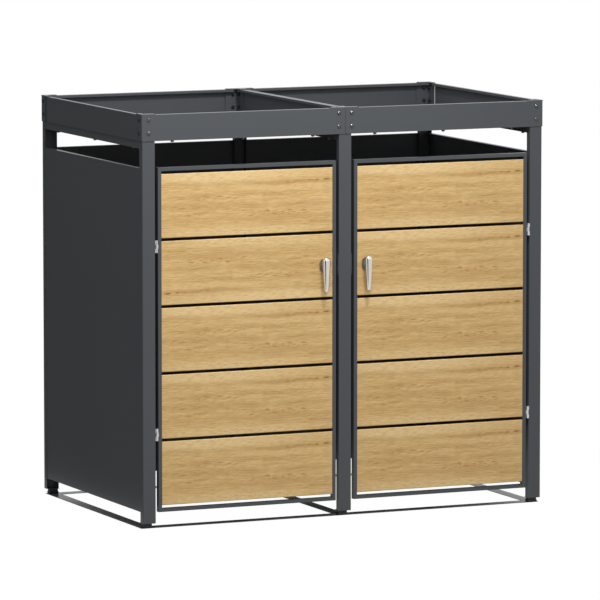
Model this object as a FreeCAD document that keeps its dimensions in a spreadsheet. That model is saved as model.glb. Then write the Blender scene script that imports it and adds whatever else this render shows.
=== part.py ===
import FreeCAD, Part
import math
import os
import re
import Sketcher

# A double store for two wheelie bins: folded steel posts and fascias round a planting
# tray, sheet walls on three sides, and two doors of wood-effect boards in steel frames.
# Millimetres. Origin on the ground under the middle, X to the right, Y to the back, Z up.

Vector = FreeCAD.Vector
doc = FreeCAD.newDocument("WheelieBinStore")

sizes = {
    # whole store, over the tray fascias
    "store_width": 1380,
    "store_depth": 840,
    "store_height": 1290,
    # fascias round the tray and the divider across its middle
    "fascia_height": 81.5,
    "fascia_sheet": 2,
    "fascia_flange": 20,
    "fascia_lip": 8,
    "fascia_seam": 1,
    "sheet_bend": 3,
    "side_flange": 13,
    "end_return": 33,
    "rear_slot": 15,
    "front_seam": 1.5,
    "flange_cut_back": 24,
    "corner_room": 2,
    # posts, folded from thin sheet and open to the inside
    "post_width": 42,
    "post_depth": 23,
    "middle_post_depth": 19,
    "post_sheet": 1.5,
    "post_top_gap": 0.5,
    "tongue_inset": 3,
    "foot_tab_reach": 32,
    # feet and the flat strips that they stand on
    "strip_width": 40,
    "strip_sheet": 1.5,
    "foot_height": 15,
    "foot_base_width": 33,
    "foot_base_depth": 20,
    "foot_base_height": 6,
    "foot_neck_width": 29,
    "foot_neck_depth": 17,
    "foot_setback": 14,
    "foot_round": 3,
    "foot_stud_radius": 4,
    "foot_stud_height": 9,
    "stud_clearance": 0.2,
    # rails under the tray and the tray floors
    "rail_width": 24,
    "rail_height": 24,
    "middle_rail_width": 38,
    "middle_rail_height": 20,
    "rail_sheet": 1.5,
    "floor_sheet": 1,
    "floor_gap": 1,
    # angle brackets in the tray corners and the caps over them
    "bracket_leg": 46,
    "bracket_sheet": 2,
    "bracket_lift": 4.5,
    "bracket_drop": 9,
    "cap_leg": 46,
    "cap_sheet": 2.5,
    # dome bolts and nuts through the fascias
    "bolt_radius": 3,
    "bolt_length": 14,
    "bolt_head_radius": 6,
    "bolt_head_height": 3.6,
    "head_flat": 0.55,
    "head_edge": 0.4,
    "bolt_clearance": 0.3,
    "upper_bolt_drop": 16,
    "lower_bolt_drop": 57.5,
    "bracket_bolt_along": 20,
    "bracket_bolt_across": 16,
    "nut_across": 10,
    "nut_height": 5,
    "thread_clearance": 0.05,
    # screws that hold the tray floors down
    "screw_radius": 2.4,
    "screw_clearance": 0.3,
    "screw_head_radius": 4.5,
    "screw_head_height": 2,
    "screw_nut_across": 10,
    "screw_nut_height": 5,
    "screw_inset": 107,
    "screw_edge": 12,
    "rail_screw_step": 310,
    "middle_screw_offset": 10,
    # sheet walls
    "wall_sheet": 1,
    "wall_bottom": 51,
    "wall_vent": 61,
    "wall_flange": 15,
    "wall_end_gap": 1.5,
    # rivets, shared by walls, keepers, hinge leaves and boards
    "rivet_radius": 1.6,
    "rivet_head_radius": 3.2,
    "rivet_head_height": 1.2,
    "rivet_tail": 0.8,
    "rivet_clearance": 0.1,
    "rivet_inset": 90,
    # doors
    "door_bottom": 51,
    "door_drop": 59,
    "hinge_gap": 10.5,
    "latch_gap": 10.3,
    "frame_face": 11,
    "frame_depth": 17.5,
    "frame_sheet": 1.5,
    "board_count": 5,
    "board_gap": 9.6,
    "board_sheet": 1.2,
    "board_depth": 9.5,
    "board_recess": 0.8,
    "board_bend": 2,
    "board_rivet_inset": 40,
    # hinges
    "hinge_rise": 243,
    "hinge_fall": 244.5,
    "hinge_height": 38,
    "knuckle_radius": 3.5,
    "knuckle_gap": 0.3,
    "hinge_proud": 1.5,
    "pin_radius": 1.8,
    "pin_clearance": 0.05,
    "pin_head_height": 1,
    "leaf_sheet": 2.5,
    "leaf_clear": 4.5,
    "post_leaf_reach": 20.5,
    "door_leaf_reach": 15.5,
    "leaf_rivet_rise": 12,
    # locks, levers, cams and keepers
    "lock_inset": 41.7,
    "rosette_width": 30,
    "rosette_height": 42,
    "rosette_sheet": 3,
    "barrel_radius": 9,
    "barrel_clearance": 0.2,
    "lock_nut_across": 27,
    "lock_nut_height": 4,
    "spindle_radius": 4,
    "spindle_end_radius": 3,
    "neck_radius": 8,
    "lever_stand": 19,
    "lever_top_radius": 11.5,
    "lever_top_rise": 14,
    "lever_end_radius": 6.5,
    "lever_reach": 74,
    "cam_width": 16,
    "cam_length": 48,
    "cam_sheet": 2.5,
    "cam_gap": 0.8,
    "keeper_reach": 19,
    "keeper_height": 64,
    "keeper_rivet_rise": 16,
    "keeper_sheet": 2,
    "stop_gap": 0.5,
}

# Places worked out from the sizes, each an expression in their names.
places = {
    "half_width": "store_width / 2",
    "half_depth": "store_depth / 2",
    "post_x": "half_width - fascia_sheet",
    "post_y": "half_depth - fascia_sheet",
    "post_inner_x": "post_x - post_width",
    "post_bottom": "strip_sheet + foot_height",
    "fascia_bottom": "store_height - fascia_height",
    "lower_post": "fascia_bottom - post_bottom",
    "whole_post": "store_height - fascia_sheet - post_top_gap - post_bottom",
    "rail_bottom": "fascia_bottom - rail_height",
    "middle_rail_bottom": "fascia_bottom - middle_rail_height",
    "rail_half_length": "post_y - post_sheet",
    "floor_bottom": "fascia_bottom + fascia_sheet",
    "bolt_hole": "bolt_radius + bolt_clearance",
    "upper_bolt": "store_height - upper_bolt_drop",
    "lower_bolt": "store_height - lower_bolt_drop",
    "bracket_x": "post_x - post_sheet",
    "bracket_y": "post_y - post_sheet",
    "bracket_bottom": "fascia_bottom + bracket_lift",
    "bracket_height": "fascia_height - bracket_lift - bracket_drop",
    "corner_bolt_x": "bracket_x - bracket_bolt_along",
    "middle_bolt_x": "fascia_sheet + bracket_bolt_along",
    "side_bolt_y": "bracket_y - bracket_bolt_across",
    "screw_hole": "screw_radius + screw_clearance",
    "screw_y": "half_depth - screw_edge",
    "screw_near": "screw_inset",
    "screw_middle": "half_width / 2",
    "screw_far": "half_width - screw_inset",
    "rail_screw_x": "post_x - post_sheet - rail_width / 2",
    "floor_top": "floor_bottom + floor_sheet",
    "short_screw": "floor_sheet + fascia_sheet + screw_nut_height + rivet_tail",
    "long_screw": "short_screw + rail_height",
    "middle_screw": "short_screw + middle_rail_height",
    "wall_height": "rail_bottom - wall_vent - wall_bottom",
    "wall_face_x": "post_x - post_sheet",
    "wall_half_length": "post_y - post_sheet - wall_end_gap",
    "rivet_hole": "rivet_radius + rivet_clearance",
    "low_rivet": "wall_bottom + rivet_inset",
    "mid_rivet": "wall_bottom + wall_height / 2",
    "high_rivet": "wall_bottom + wall_height - rivet_inset",
    "wall_rivet_y": "post_y - wall_flange / 2",
    "door_height": "rail_bottom - door_drop - door_bottom",
    "door_outer_x": "post_inner_x - hinge_gap",
    "door_inner_x": "post_width / 2 + latch_gap",
    "door_width": "door_outer_x - door_inner_x",
    "board_width": "door_width - 2 * frame_face",
    "board_height": "(door_height - 2 * frame_face - (board_count + 1) * board_gap) / board_count",
    "board_y": "post_y - board_recess",
    "lower_hinge": "door_bottom + hinge_rise",
    "upper_hinge": "door_bottom + door_height - hinge_fall",
    "hinge_x": "(post_inner_x + door_outer_x) / 2",
    "hinge_y": "post_y + hinge_proud",
    "hinge_half_gap": "hinge_gap / 2",
    "knuckle_height": "(hinge_height - 2 * knuckle_gap) / 3",
    "leaf_rivet_y": "hinge_y - (leaf_clear + door_leaf_reach) / 2",
    "lock_x": "door_inner_x + lock_inset",
    "lock_height": "door_bottom + door_height - frame_face - 2 * board_gap - 1.5 * board_height",
    "barrel_back": "post_y - frame_depth - stop_gap - keeper_sheet - cam_gap / 2",
    "cam_front": "post_y - frame_depth - stop_gap - keeper_sheet - cam_gap",
    "keeper_front": "post_y - frame_depth - stop_gap",
}

sheet = doc.addObject("Spreadsheet::Sheet", "Sizes")
for row, (alias, value) in enumerate(sizes.items(), start=1):
    sheet.set("A%d" % row, alias)
    sheet.set("B%d" % row, str(value))
    sheet.setAlias("B%d" % row, alias)
doc.recompute()

pieces = {}


def bound(text):
    """Writes an expression's places and sizes out as cells of the sheet."""
    def cell(match):
        word = match.group(0)
        if word in places:
            return "(" + bound(places[word]) + ")"
        return "Sizes." + word if word in sizes else word
    return re.sub(r"[A-Za-z]\w*", cell, str(text))


def place(thing, x=0, y=0, z=0):
    """Binds where a body, link or cylinder stands."""
    for axis, text in zip("xyz", (x, y, z)):
        thing.setExpression("Placement.Base." + axis, bound(text))


def new_body(label, x=0, y=0, z=0):
    body = doc.addObject("PartDesign::Body", label)
    body.Label = label
    doc.recompute()
    place(body, x, y, z)
    pieces[label] = body
    return body


def new_sketch(body, role, offset):
    """A sketch on one of the body's own planes, moved along its normal."""
    sketch = body.newObject("Sketcher::SketchObject", "Outline")
    planes = [feature for feature in body.Origin.OriginFeatures if feature.Role == role]
    sketch.AttachmentSupport = [(planes[0], "")]
    sketch.MapMode = "FlatFace"
    sketch.setExpression("AttachmentOffset.Base.z", bound(offset))
    return sketch


def fix_point(sketch, curve, point, x, y, guess):
    """Holds one point of a curve at bound distances from the sketch's origin."""
    for kind, text, start in (("DistanceX", x, guess[0]), ("DistanceY", y, guess[1])):
        index = sketch.addConstraint(Sketcher.Constraint(kind, -1, 1, curve, point, start))
        sketch.setExpression("Constraints[%d]" % index, bound(text))


def draw_outline(sketch, points):
    """Adds a closed outline of straight lines through bound points."""
    first = sketch.GeometryCount
    count = len(points)
    turn = 2 * math.pi / count
    guesses = [Vector(50 * math.cos(turn * i), 50 * math.sin(turn * i), 0) for i in range(count)]
    lines = [Part.LineSegment(guesses[i], guesses[(i + 1) % count]) for i in range(count)]
    sketch.addGeometry(lines, False)
    for i in range(count):
        sketch.addConstraint(Sketcher.Constraint("Coincident", first + i, 2, first + (i + 1) % count, 1))
    for i, (x, y) in enumerate(points):
        fix_point(sketch, first + i, 1, x, y, guesses[i])


def draw_circles(sketch, centres, radius):
    for x, y in centres:
        curve = sketch.addGeometry(Part.Circle(Vector(0, 0, 0), Vector(0, 0, 1), 5), False)
        fix_point(sketch, curve, 3, x, y, (0.0, 0.0))
        index = sketch.addConstraint(Sketcher.Constraint("Radius", curve, 5.0))
        sketch.setExpression("Constraints[%d]" % index, bound(radius))


def draw_slot(sketch, upper, upper_radius, lower, lower_radius):
    """Adds two arcs on the vertical axis, joined by the lines that touch both."""
    caps = ((upper, upper_radius, 20.0, 0), (lower, lower_radius, -20.0, math.pi))
    ends = []
    for height, radius, guess, start in caps:
        circle = Part.Circle(Vector(0, guess, 0), Vector(0, 0, 1), 8)
        ends.append(sketch.addGeometry(Part.ArcOfCircle(circle, start, start + math.pi), False))
    left = sketch.addGeometry(Part.LineSegment(Vector(-8, 20, 0), Vector(-8, -20, 0)), False)
    right = sketch.addGeometry(Part.LineSegment(Vector(8, -20, 0), Vector(8, 20, 0)), False)
    order = [ends[0], left, ends[1], right]
    for curve, following in zip(order, order[1:] + order[:1]):
        sketch.addConstraint(Sketcher.Constraint("Tangent", curve, 2, following, 1))
    for curve, (height, radius, guess, start) in zip(ends, caps):
        fix_point(sketch, curve, 3, 0, height, (0.0, guess))
        index = sketch.addConstraint(Sketcher.Constraint("Radius", curve, 8.0))
        sketch.setExpression("Constraints[%d]" % index, bound(radius))


def draw_half_slot(sketch, upper, upper_radius, lower, lower_radius):
    """Adds the right half of such a slot, closed along the vertical axis."""
    arcs = []
    for height, radius, guess, start in ((upper, upper_radius, 20.0, 0),
                                         (lower, lower_radius, -20.0, -math.pi / 2)):
        circle = Part.Circle(Vector(0, guess, 0), Vector(0, 0, 1), 8)
        arc = sketch.addGeometry(Part.ArcOfCircle(circle, start, start + math.pi / 2), False)
        fix_point(sketch, arc, 3, 0, height, (0.0, guess))
        index = sketch.addConstraint(Sketcher.Constraint("Radius", arc, 8.0))
        sketch.setExpression("Constraints[%d]" % index, bound(radius))
        arcs.append(arc)
    top, end = arcs
    flank = sketch.addGeometry(Part.LineSegment(Vector(8, -20, 0), Vector(8, 20, 0)), False)
    middle = sketch.addGeometry(Part.LineSegment(Vector(0, 28, 0), Vector(0, -28, 0)), False)
    sketch.addConstraint(Sketcher.Constraint("Tangent", end, 2, flank, 1))
    sketch.addConstraint(Sketcher.Constraint("Tangent", flank, 2, top, 1))
    sketch.addConstraint(Sketcher.Constraint("Coincident", top, 2, middle, 1))
    sketch.addConstraint(Sketcher.Constraint("Coincident", middle, 2, end, 1))
    for point in (1, 2):
        sketch.addConstraint(Sketcher.Constraint("PointOnObject", middle, point, -2))


def finish_pad(body, sketch, thick):
    pad = body.newObject("PartDesign::Pad", "Pad")
    pad.Profile = sketch
    pad.setExpression("Length", bound(thick))
    return pad


def pad_offset(role, low, thick):
    return "-((%s) + (%s))" % (low, thick) if role == "XZ_Plane" else low


def add_slab(body, role, points, low, thick):
    """Pads an outline from the level low by its thickness, along the plane's axis."""
    sketch = new_sketch(body, role, pad_offset(role, low, thick))
    draw_outline(sketch, points)
    return finish_pad(body, sketch, thick)


def box_points(x0, x1, y0, y1):
    return [(x0, y0), (x1, y0), (x1, y1), (x0, y1)]


def add_plate(body, role, x0, x1, y0, y1, low, thick):
    return add_slab(body, role, box_points(x0, x1, y0, y1), low, thick)


def finish_cut(body, sketch, thick):
    cut = body.newObject("PartDesign::Pocket", "Cut")
    cut.Profile = sketch
    cut.setExpression("Length", bound(thick))
    return cut


def cut_offset(role, low, thick):
    return "-(%s)" % low if role == "XZ_Plane" else "(%s) + (%s)" % (low, thick)


def cut_plate(body, role, x0, x1, y0, y1, low, thick):
    sketch = new_sketch(body, role, cut_offset(role, low, thick))
    draw_outline(sketch, box_points(x0, x1, y0, y1))
    return finish_cut(body, sketch, thick)


def drill(body, role, centres, radius, low, thick):
    """Cuts round holes from the level low by the thickness, along the plane's axis."""
    sketch = new_sketch(body, role, cut_offset(role, low, thick))
    draw_circles(sketch, centres, radius)
    return finish_cut(body, sketch, thick)


def add_rod(body, role, x, y, radius, low, length):
    sketch = new_sketch(body, role, pad_offset(role, low, length))
    draw_circles(sketch, [(x, y)], radius)
    return finish_pad(body, sketch, length)


def round_edges(body, radius, chosen):
    """Rounds the edges of the body's last feature whose ends all pass the test."""
    doc.recompute()
    last = body.Tip
    names = ["Edge%d" % number for number, edge in enumerate(last.Shape.Edges, start=1)
             if all(chosen(vertex.Point) for vertex in edge.Vertexes)]
    rounded = body.newObject("PartDesign::Fillet", "Rounded")
    rounded.Base = (last, names)
    rounded.setExpression("Radius", bound(radius))
    return rounded


def spin(body, points):
    """Turns an outline, drawn in the XZ plane, once round the body's Z axis."""
    sketch = new_sketch(body, "XZ_Plane", 0)
    draw_outline(sketch, points)
    turned = body.newObject("PartDesign::Revolution", "Turned")
    turned.Profile = sketch
    turned.ReferenceAxis = (sketch, ["V_Axis"])
    turned.Angle = 360
    return turned


def mirrored(source, label, normal, keep=True):
    """The source on the other side of the middle plane that the normal points across."""
    twin = doc.addObject("Part::Mirroring", label)
    twin.Source = source
    twin.Normal = normal
    twin.Base = Vector(0, 0, 0)
    twin.Label = label
    if keep:
        pieces[label] = twin
    return twin


def copied(source, x, y, z, direction=Vector(0, 0, 1)):
    """A copy whose own Z axis points the given way."""
    link = doc.addObject("App::Link", "Copy")
    link.LinkedObject = source
    link.Placement = FreeCAD.Placement(Vector(0, 0, 0), FreeCAD.Rotation(Vector(0, 0, 1), direction))
    place(link, x, y, z)
    return link


def grouped(label, members):
    group = doc.addObject("Part::Compound", label)
    group.Links = members
    group.Label = label
    pieces[label] = group
    return group


def pattern(label):
    """A body that is only copied, so it isn't a piece by itself."""
    body = new_body(label)
    del pieces[label]
    return body


right = Vector(1, 0, 0)
back = Vector(0, 1, 0)
up = Vector(0, 0, 1)
close = 0.001


# Posts: the corner ones have their broad face to the front or back and a flange on the
# side; web and outer flange go up inside the tray corner, the inner flange stops below it.
def corner_post(label, inner_holes):
    body = new_body(label, "-post_x", "-post_y", "post_bottom")
    face_and_side = [(0, 0), ("post_width", 0), ("post_width", "post_sheet"),
                     ("post_sheet", "post_sheet"), ("post_sheet", "post_depth"), (0, "post_depth")]
    add_slab(body, "XY_Plane", face_and_side, 0, "whole_post")
    round_edges(body, "sheet_bend", lambda point: abs(point.x) < close and abs(point.y) < close)
    add_plate(body, "YZ_Plane", 0, "post_depth", 0, "lower_post", "post_width - post_sheet", "post_sheet")
    add_plate(body, "XY_Plane", "post_sheet", "post_width - post_sheet", "post_sheet",
              "foot_tab_reach", 0, "post_sheet")
    drill(body, "XY_Plane", [("post_width / 2", "foot_setback + foot_base_depth / 2")],
          "foot_stud_radius + stud_clearance", 0, "post_sheet")
    heights = ["%s - post_bottom" % bolt for bolt in ("upper_bolt", "lower_bolt")]
    drill(body, "XZ_Plane", [("post_x - corner_bolt_x", height) for height in heights],
          "bolt_hole", 0, "post_sheet")
    drill(body, "YZ_Plane", [("post_y - side_bolt_y", height) for height in heights],
          "bolt_hole", 0, "post_sheet")
    drill(body, "YZ_Plane", [("post_y - %s" % y, "%s - post_bottom" % z) for y, z in inner_holes],
          "rivet_hole", "post_width - post_sheet", "post_sheet")
    return body


hinges = ["lower_hinge", "upper_hinge"]
hinge_holes = [("leaf_rivet_y", "%s %s leaf_rivet_rise" % (hinge, sign)) for hinge in hinges for sign in "-+"]
wall_heights = ["low_rivet", "mid_rivet", "high_rivet"]
wall_holes = [("wall_rivet_y", height) for height in wall_heights]
keeper_rivet_y = "(keeper_front + post_y - leaf_clear) / 2"
keeper_holes = [(keeper_rivet_y, "lock_height %s keeper_rivet_rise" % sign) for sign in "-+"]

front_left = corner_post("post_front_left", hinge_holes)
mirrored(front_left, "post_front_right", right)
rear_left = mirrored(corner_post("rear_corner", wall_holes), "post_rear_left", back)
del pieces["rear_corner"]
mirrored(rear_left, "post_rear_right", right)


# The middle posts: a channel with a tongue that goes up between fascia and brackets.
def middle_post(label, side_holes):
    body = new_body(label, "-post_width / 2", "-post_y", "post_bottom")
    channel = [(0, 0), ("post_width", 0), ("post_width", "middle_post_depth"),
               ("post_width - post_sheet", "middle_post_depth"), ("post_width - post_sheet", "post_sheet"),
               ("post_sheet", "post_sheet"), ("post_sheet", "middle_post_depth"), (0, "middle_post_depth")]
    add_slab(body, "XY_Plane", channel, 0, "lower_post")
    add_plate(body, "XZ_Plane", "tongue_inset", "post_width - tongue_inset", "lower_post", "whole_post",
              0, "post_sheet")
    add_plate(body, "XY_Plane", "post_sheet", "post_width - post_sheet", "post_sheet",
              "foot_tab_reach", 0, "post_sheet")
    drill(body, "XY_Plane", [("post_width / 2", "foot_setback + foot_base_depth / 2")],
          "foot_stud_radius + stud_clearance", 0, "post_sheet")
    drill(body, "YZ_Plane", [("post_y - (%s)" % y, "%s - post_bottom" % z) for y, z in side_holes],
          "rivet_hole", 0, "post_width")
    return body


middle_post("post_front_middle", keeper_holes)
mirrored(middle_post("rear_middle", wall_holes), "post_rear_middle", back)
del pieces["rear_middle"]

# Feet: moulded glides under the posts' bottom tabs, on flat strips that lie on the ground.
foot = pattern("foot")
add_plate(foot, "XY_Plane", "-foot_base_width / 2", "foot_base_width / 2", "-foot_base_depth / 2",
          "foot_base_depth / 2", 0, "foot_base_height")
round_edges(foot, "foot_round", lambda point: point.z < close)
add_plate(foot, "XY_Plane", "-foot_neck_width / 2", "foot_neck_width / 2", "-foot_neck_depth / 2",
          "foot_neck_depth / 2", "foot_base_height", "foot_height - foot_base_height")
add_rod(foot, "XY_Plane", 0, 0, "foot_stud_radius", "foot_height", "foot_stud_height")
foot_y = "(post_y - foot_setback - foot_base_depth / 2)"
foot_x = "(post_x - post_width / 2)"
grouped("feet", [copied(foot, x, side + foot_y, "strip_sheet")
                 for side in ("-", "") for x in ("-" + foot_x, 0, foot_x)])

strip_end = "(post_y - foot_setback)"
strip = new_body("floor_strip_left", "-post_x", 0, 0)
add_plate(strip, "XY_Plane", 0, "strip_width", "-" + strip_end, strip_end, 0, "strip_sheet")
mirrored(strip, "floor_strip_right", right)
strip = new_body("floor_strip_middle", "-strip_width / 2", 0, 0)
add_plate(strip, "XY_Plane", 0, "strip_width", "-" + strip_end, strip_end, 0, "strip_sheet")
cross = pattern("cross_strip")
add_plate(cross, "XY_Plane", "-(post_x - strip_width)", "-strip_width / 2", "-" + strip_end,
          "-%s + strip_width" % strip_end, 0, "strip_sheet")
cross_right = mirrored(cross, "cross_strip_right", right, keep=False)
cross_back = mirrored(cross, "cross_strip_back", back, keep=False)
cross_far = mirrored(cross_back, "cross_strip_far", right, keep=False)
grouped("floor_strips_across", [cross, cross_right, cross_back, cross_far])

# Rails: tubes that carry the tray from front to back, square at the sides and flat in the
# middle.
bolt_heights = ["%s - fascia_bottom" % bolt for bolt in ("upper_bolt", "lower_bolt")]
rail_screws = ["-rail_screw_step", 0, "rail_screw_step"]


def rail(label, x, width, height, screw_columns):
    body = new_body(label, x, 0, "fascia_bottom - " + height)
    add_plate(body, "XZ_Plane", 0, width, 0, height, "-rail_half_length", "2 * rail_half_length")
    cut_plate(body, "XZ_Plane", "rail_sheet", "%s - rail_sheet" % width, "rail_sheet",
              "%s - rail_sheet" % height, "-rail_half_length", "2 * rail_half_length")
    drill(body, "XY_Plane", [(column, row) for column in screw_columns for row in rail_screws],
          "screw_hole", 0, height)
    return body


left_rail = rail("rail_left", "-bracket_x", "rail_width", "rail_height", ["rail_width / 2"])
mirrored(left_rail, "rail_right", right)
rail("rail_middle", "-middle_rail_width / 2", "middle_rail_width", "middle_rail_height",
     ["middle_rail_width / 2 - middle_screw_offset", "middle_rail_width / 2 + middle_screw_offset"])


# Fascias: a face, a flange turned in at the top with a lip turned down, and a flange at
# the bottom that the tray floor lies on.
def front_fascia():
    body = new_body("fascia_front_left", 0, "-half_depth", "fascia_bottom")
    add_plate(body, "XZ_Plane", "-half_width", "-fascia_seam / 2", 0, "fascia_height", 0, "fascia_sheet")
    add_plate(body, "XY_Plane", "-half_width", "-flange_cut_back", 0, "fascia_flange",
              "fascia_height - fascia_sheet", "fascia_sheet")
    add_plate(body, "XZ_Plane", "-(bracket_x - bracket_sheet)", "-flange_cut_back",
              "fascia_height - fascia_lip", "fascia_height", "fascia_flange - fascia_sheet", "fascia_sheet")
    add_plate(body, "XY_Plane", "-(post_inner_x - corner_room)", "-flange_cut_back", 0, "fascia_flange",
              0, "fascia_sheet")
    add_plate(body, "YZ_Plane", 0, "end_return", 0, "fascia_height", "-half_width", "fascia_sheet")
    doc.recompute()
    outside = body.Tip.Shape.BoundBox.XMin
    round_edges(body, "sheet_bend", lambda point: point.x < outside + close and abs(point.y) < close)
    across = ["-corner_bolt_x", "-middle_bolt_x"]
    drill(body, "XZ_Plane", [(x, z) for x in across for z in bolt_heights], "bolt_hole", 0, "fascia_sheet")
    drill(body, "YZ_Plane", [("half_depth - side_bolt_y", z) for z in bolt_heights],
          "bolt_hole", "-half_width", "fascia_sheet")
    drill(body, "XY_Plane", [("-" + x, "screw_edge") for x in ("screw_near", "screw_middle", "screw_far")],
          "screw_hole", 0, "fascia_sheet")
    return body


fascia = front_fascia()
mirrored(fascia, "fascia_front_right", right)
rear = mirrored(fascia, "fascia_rear_left", back)
mirrored(rear, "fascia_rear_right", right)

side = new_body("fascia_side_left", "-half_width", 0, "fascia_bottom")
side_front = "-(half_depth - end_return - front_seam)"
side_rear = "(half_depth - end_return - rear_slot)"
add_plate(side, "YZ_Plane", side_front, side_rear, 0, "fascia_height", 0, "fascia_sheet")
add_plate(side, "XY_Plane", 0, "side_flange", side_front, side_rear,
          "fascia_height - fascia_sheet", "fascia_sheet")
add_plate(side, "YZ_Plane", side_front, side_rear, "fascia_height - fascia_lip", "fascia_height",
          "side_flange - fascia_sheet", "fascia_sheet")
add_plate(side, "XY_Plane", 0, "fascia_flange", side_front, side_rear, 0, "fascia_sheet")
drill(side, "XY_Plane", [("half_width - rail_screw_x", row) for row in rail_screws],
      "screw_hole", 0, "fascia_sheet")
mirrored(side, "fascia_side_right", right)

divider = new_body("divider_left", 0, 0, "fascia_bottom")
divider_end = "(bracket_y - post_top_gap)"
add_plate(divider, "YZ_Plane", "-" + divider_end, divider_end, 0, "fascia_height",
          "-fascia_sheet", "fascia_sheet")
add_plate(divider, "XY_Plane", "-side_flange", 0, "-" + divider_end, divider_end,
          "fascia_height - fascia_sheet", "fascia_sheet")
add_plate(divider, "YZ_Plane", "-" + divider_end, divider_end,
          "fascia_height - fascia_lip", "fascia_height", "-side_flange", "fascia_sheet")
add_plate(divider, "XY_Plane", "-middle_rail_width / 2", 0, "-" + divider_end, divider_end,
          0, "fascia_sheet")
drill(divider, "YZ_Plane", [(sign + "side_bolt_y", z) for sign in ("-", "") for z in bolt_heights],
      "bolt_hole", "-fascia_sheet", "fascia_sheet")
drill(divider, "XY_Plane", [("-middle_screw_offset", row) for row in rail_screws],
      "screw_hole", 0, "fascia_sheet")
mirrored(divider, "divider_right", right)

# Tray floors: one sheet in each bay, on the bottom flanges.
floor = new_body("tray_floor_left", 0, 0, "floor_bottom")
add_plate(floor, "XY_Plane", "-(bracket_x - floor_gap)", "-(fascia_sheet + floor_gap / 2)",
          "-(bracket_y - floor_gap)", "bracket_y - floor_gap", 0, "floor_sheet")
edge_screws = [("-" + x, sign + "screw_y") for x in ("screw_near", "screw_middle", "screw_far")
               for sign in ("-", "")]
side_screws = [(x, row) for x in ("-rail_screw_x", "-middle_screw_offset") for row in rail_screws]
drill(floor, "XY_Plane", edge_screws + side_screws, "screw_hole", 0, "floor_sheet")
mirrored(floor, "tray_floor_right", right)

# Angle brackets that tie posts, fascias and divider together inside the tray.
bracket = pattern("angle_bracket")
angle = [(0, 0), ("bracket_leg", 0), ("bracket_leg", "bracket_sheet"), ("bracket_sheet", "bracket_sheet"),
         ("bracket_sheet", "bracket_leg"), (0, "bracket_leg")]
add_slab(bracket, "XY_Plane", angle, 0, "bracket_height")
bracket_bolts = ["%s - bracket_bottom" % bolt for bolt in ("upper_bolt", "lower_bolt")]
for plane, along in (("XZ_Plane", "bracket_bolt_along"), ("YZ_Plane", "bracket_bolt_across")):
    drill(bracket, plane, [(along, z) for z in bracket_bolts], "bolt_hole", 0, "bracket_sheet")
bracket_x_twin = mirrored(bracket, "angle_bracket_x", right, keep=False)
bracket_y_twin = mirrored(bracket, "angle_bracket_y", back, keep=False)
bracket_far_twin = mirrored(bracket_y_twin, "angle_bracket_far", right, keep=False)
grouped("tray_brackets", [copied(source, x, y, "bracket_bottom") for source, x, y in (
    (bracket, "-bracket_x", "-bracket_y"), (bracket_x_twin, "-fascia_sheet", "-bracket_y"),
    (bracket, "fascia_sheet", "-bracket_y"), (bracket_x_twin, "bracket_x", "-bracket_y"),
    (bracket_y_twin, "-bracket_x", "bracket_y"), (bracket_far_twin, "-fascia_sheet", "bracket_y"),
    (bracket_y_twin, "fascia_sheet", "bracket_y"), (bracket_far_twin, "bracket_x", "bracket_y"))])

# Caps that cover the joints of the top flanges.
corner_cap = pattern("corner_cap")
corner_outline = [(0, 0), ("cap_leg", 0), ("cap_leg", "fascia_flange"), ("side_flange", "fascia_flange"),
                  ("side_flange", "cap_leg"), (0, "cap_leg")]
add_slab(corner_cap, "XY_Plane", corner_outline, 0, "cap_sheet")
cap_x_twin = mirrored(corner_cap, "corner_cap_x", right, keep=False)
cap_y_twin = mirrored(corner_cap, "corner_cap_y", back, keep=False)
cap_far_twin = mirrored(cap_y_twin, "corner_cap_far", right, keep=False)
grouped("corner_caps", [copied(source, x, y, "store_height") for source, x, y in (
    (corner_cap, "-half_width", "-half_depth"), (cap_x_twin, "half_width", "-half_depth"),
    (cap_y_twin, "-half_width", "half_depth"), (cap_far_twin, "half_width", "half_depth"))])
middle_cap = pattern("middle_cap")
tee = [("-cap_leg", 0), ("cap_leg", 0), ("cap_leg", "fascia_flange"), ("side_flange", "fascia_flange"),
       ("side_flange", "cap_leg"), ("-side_flange", "cap_leg"), ("-side_flange", "fascia_flange"),
       ("-cap_leg", "fascia_flange")]
add_slab(middle_cap, "XY_Plane", tee, 0, "cap_sheet")
middle_twin = mirrored(middle_cap, "middle_cap_back", back, keep=False)
grouped("middle_caps", [copied(middle_cap, 0, "-half_depth", "store_height"),
                        copied(middle_twin, 0, "half_depth", "store_height")])


# Fasteners: each is drawn once about its own axis, head below zero, and copied.
def fastener(label, radius, length, head_radius, head_height):
    body = pattern(label)
    spin(body, [(0, "-(%s)" % head_height), ("head_flat * (%s)" % head_radius, "-(%s)" % head_height),
                (head_radius, "-head_edge * (%s)" % head_height), (head_radius, 0), (radius, 0),
                (radius, length), (0, length)])
    return body


def nut(label, across, height, bore):
    body = pattern(label)
    corner = "(%s) / 2 / cos(30 deg)" % across
    hexagon = [("%s * cos(%d deg)" % (corner, angle), "%s * sin(%d deg)" % (corner, angle))
               for angle in range(0, 360, 60)]
    add_slab(body, "XY_Plane", hexagon, 0, height)
    drill(body, "XY_Plane", [(0, 0)], bore, 0, height)
    return body


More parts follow.
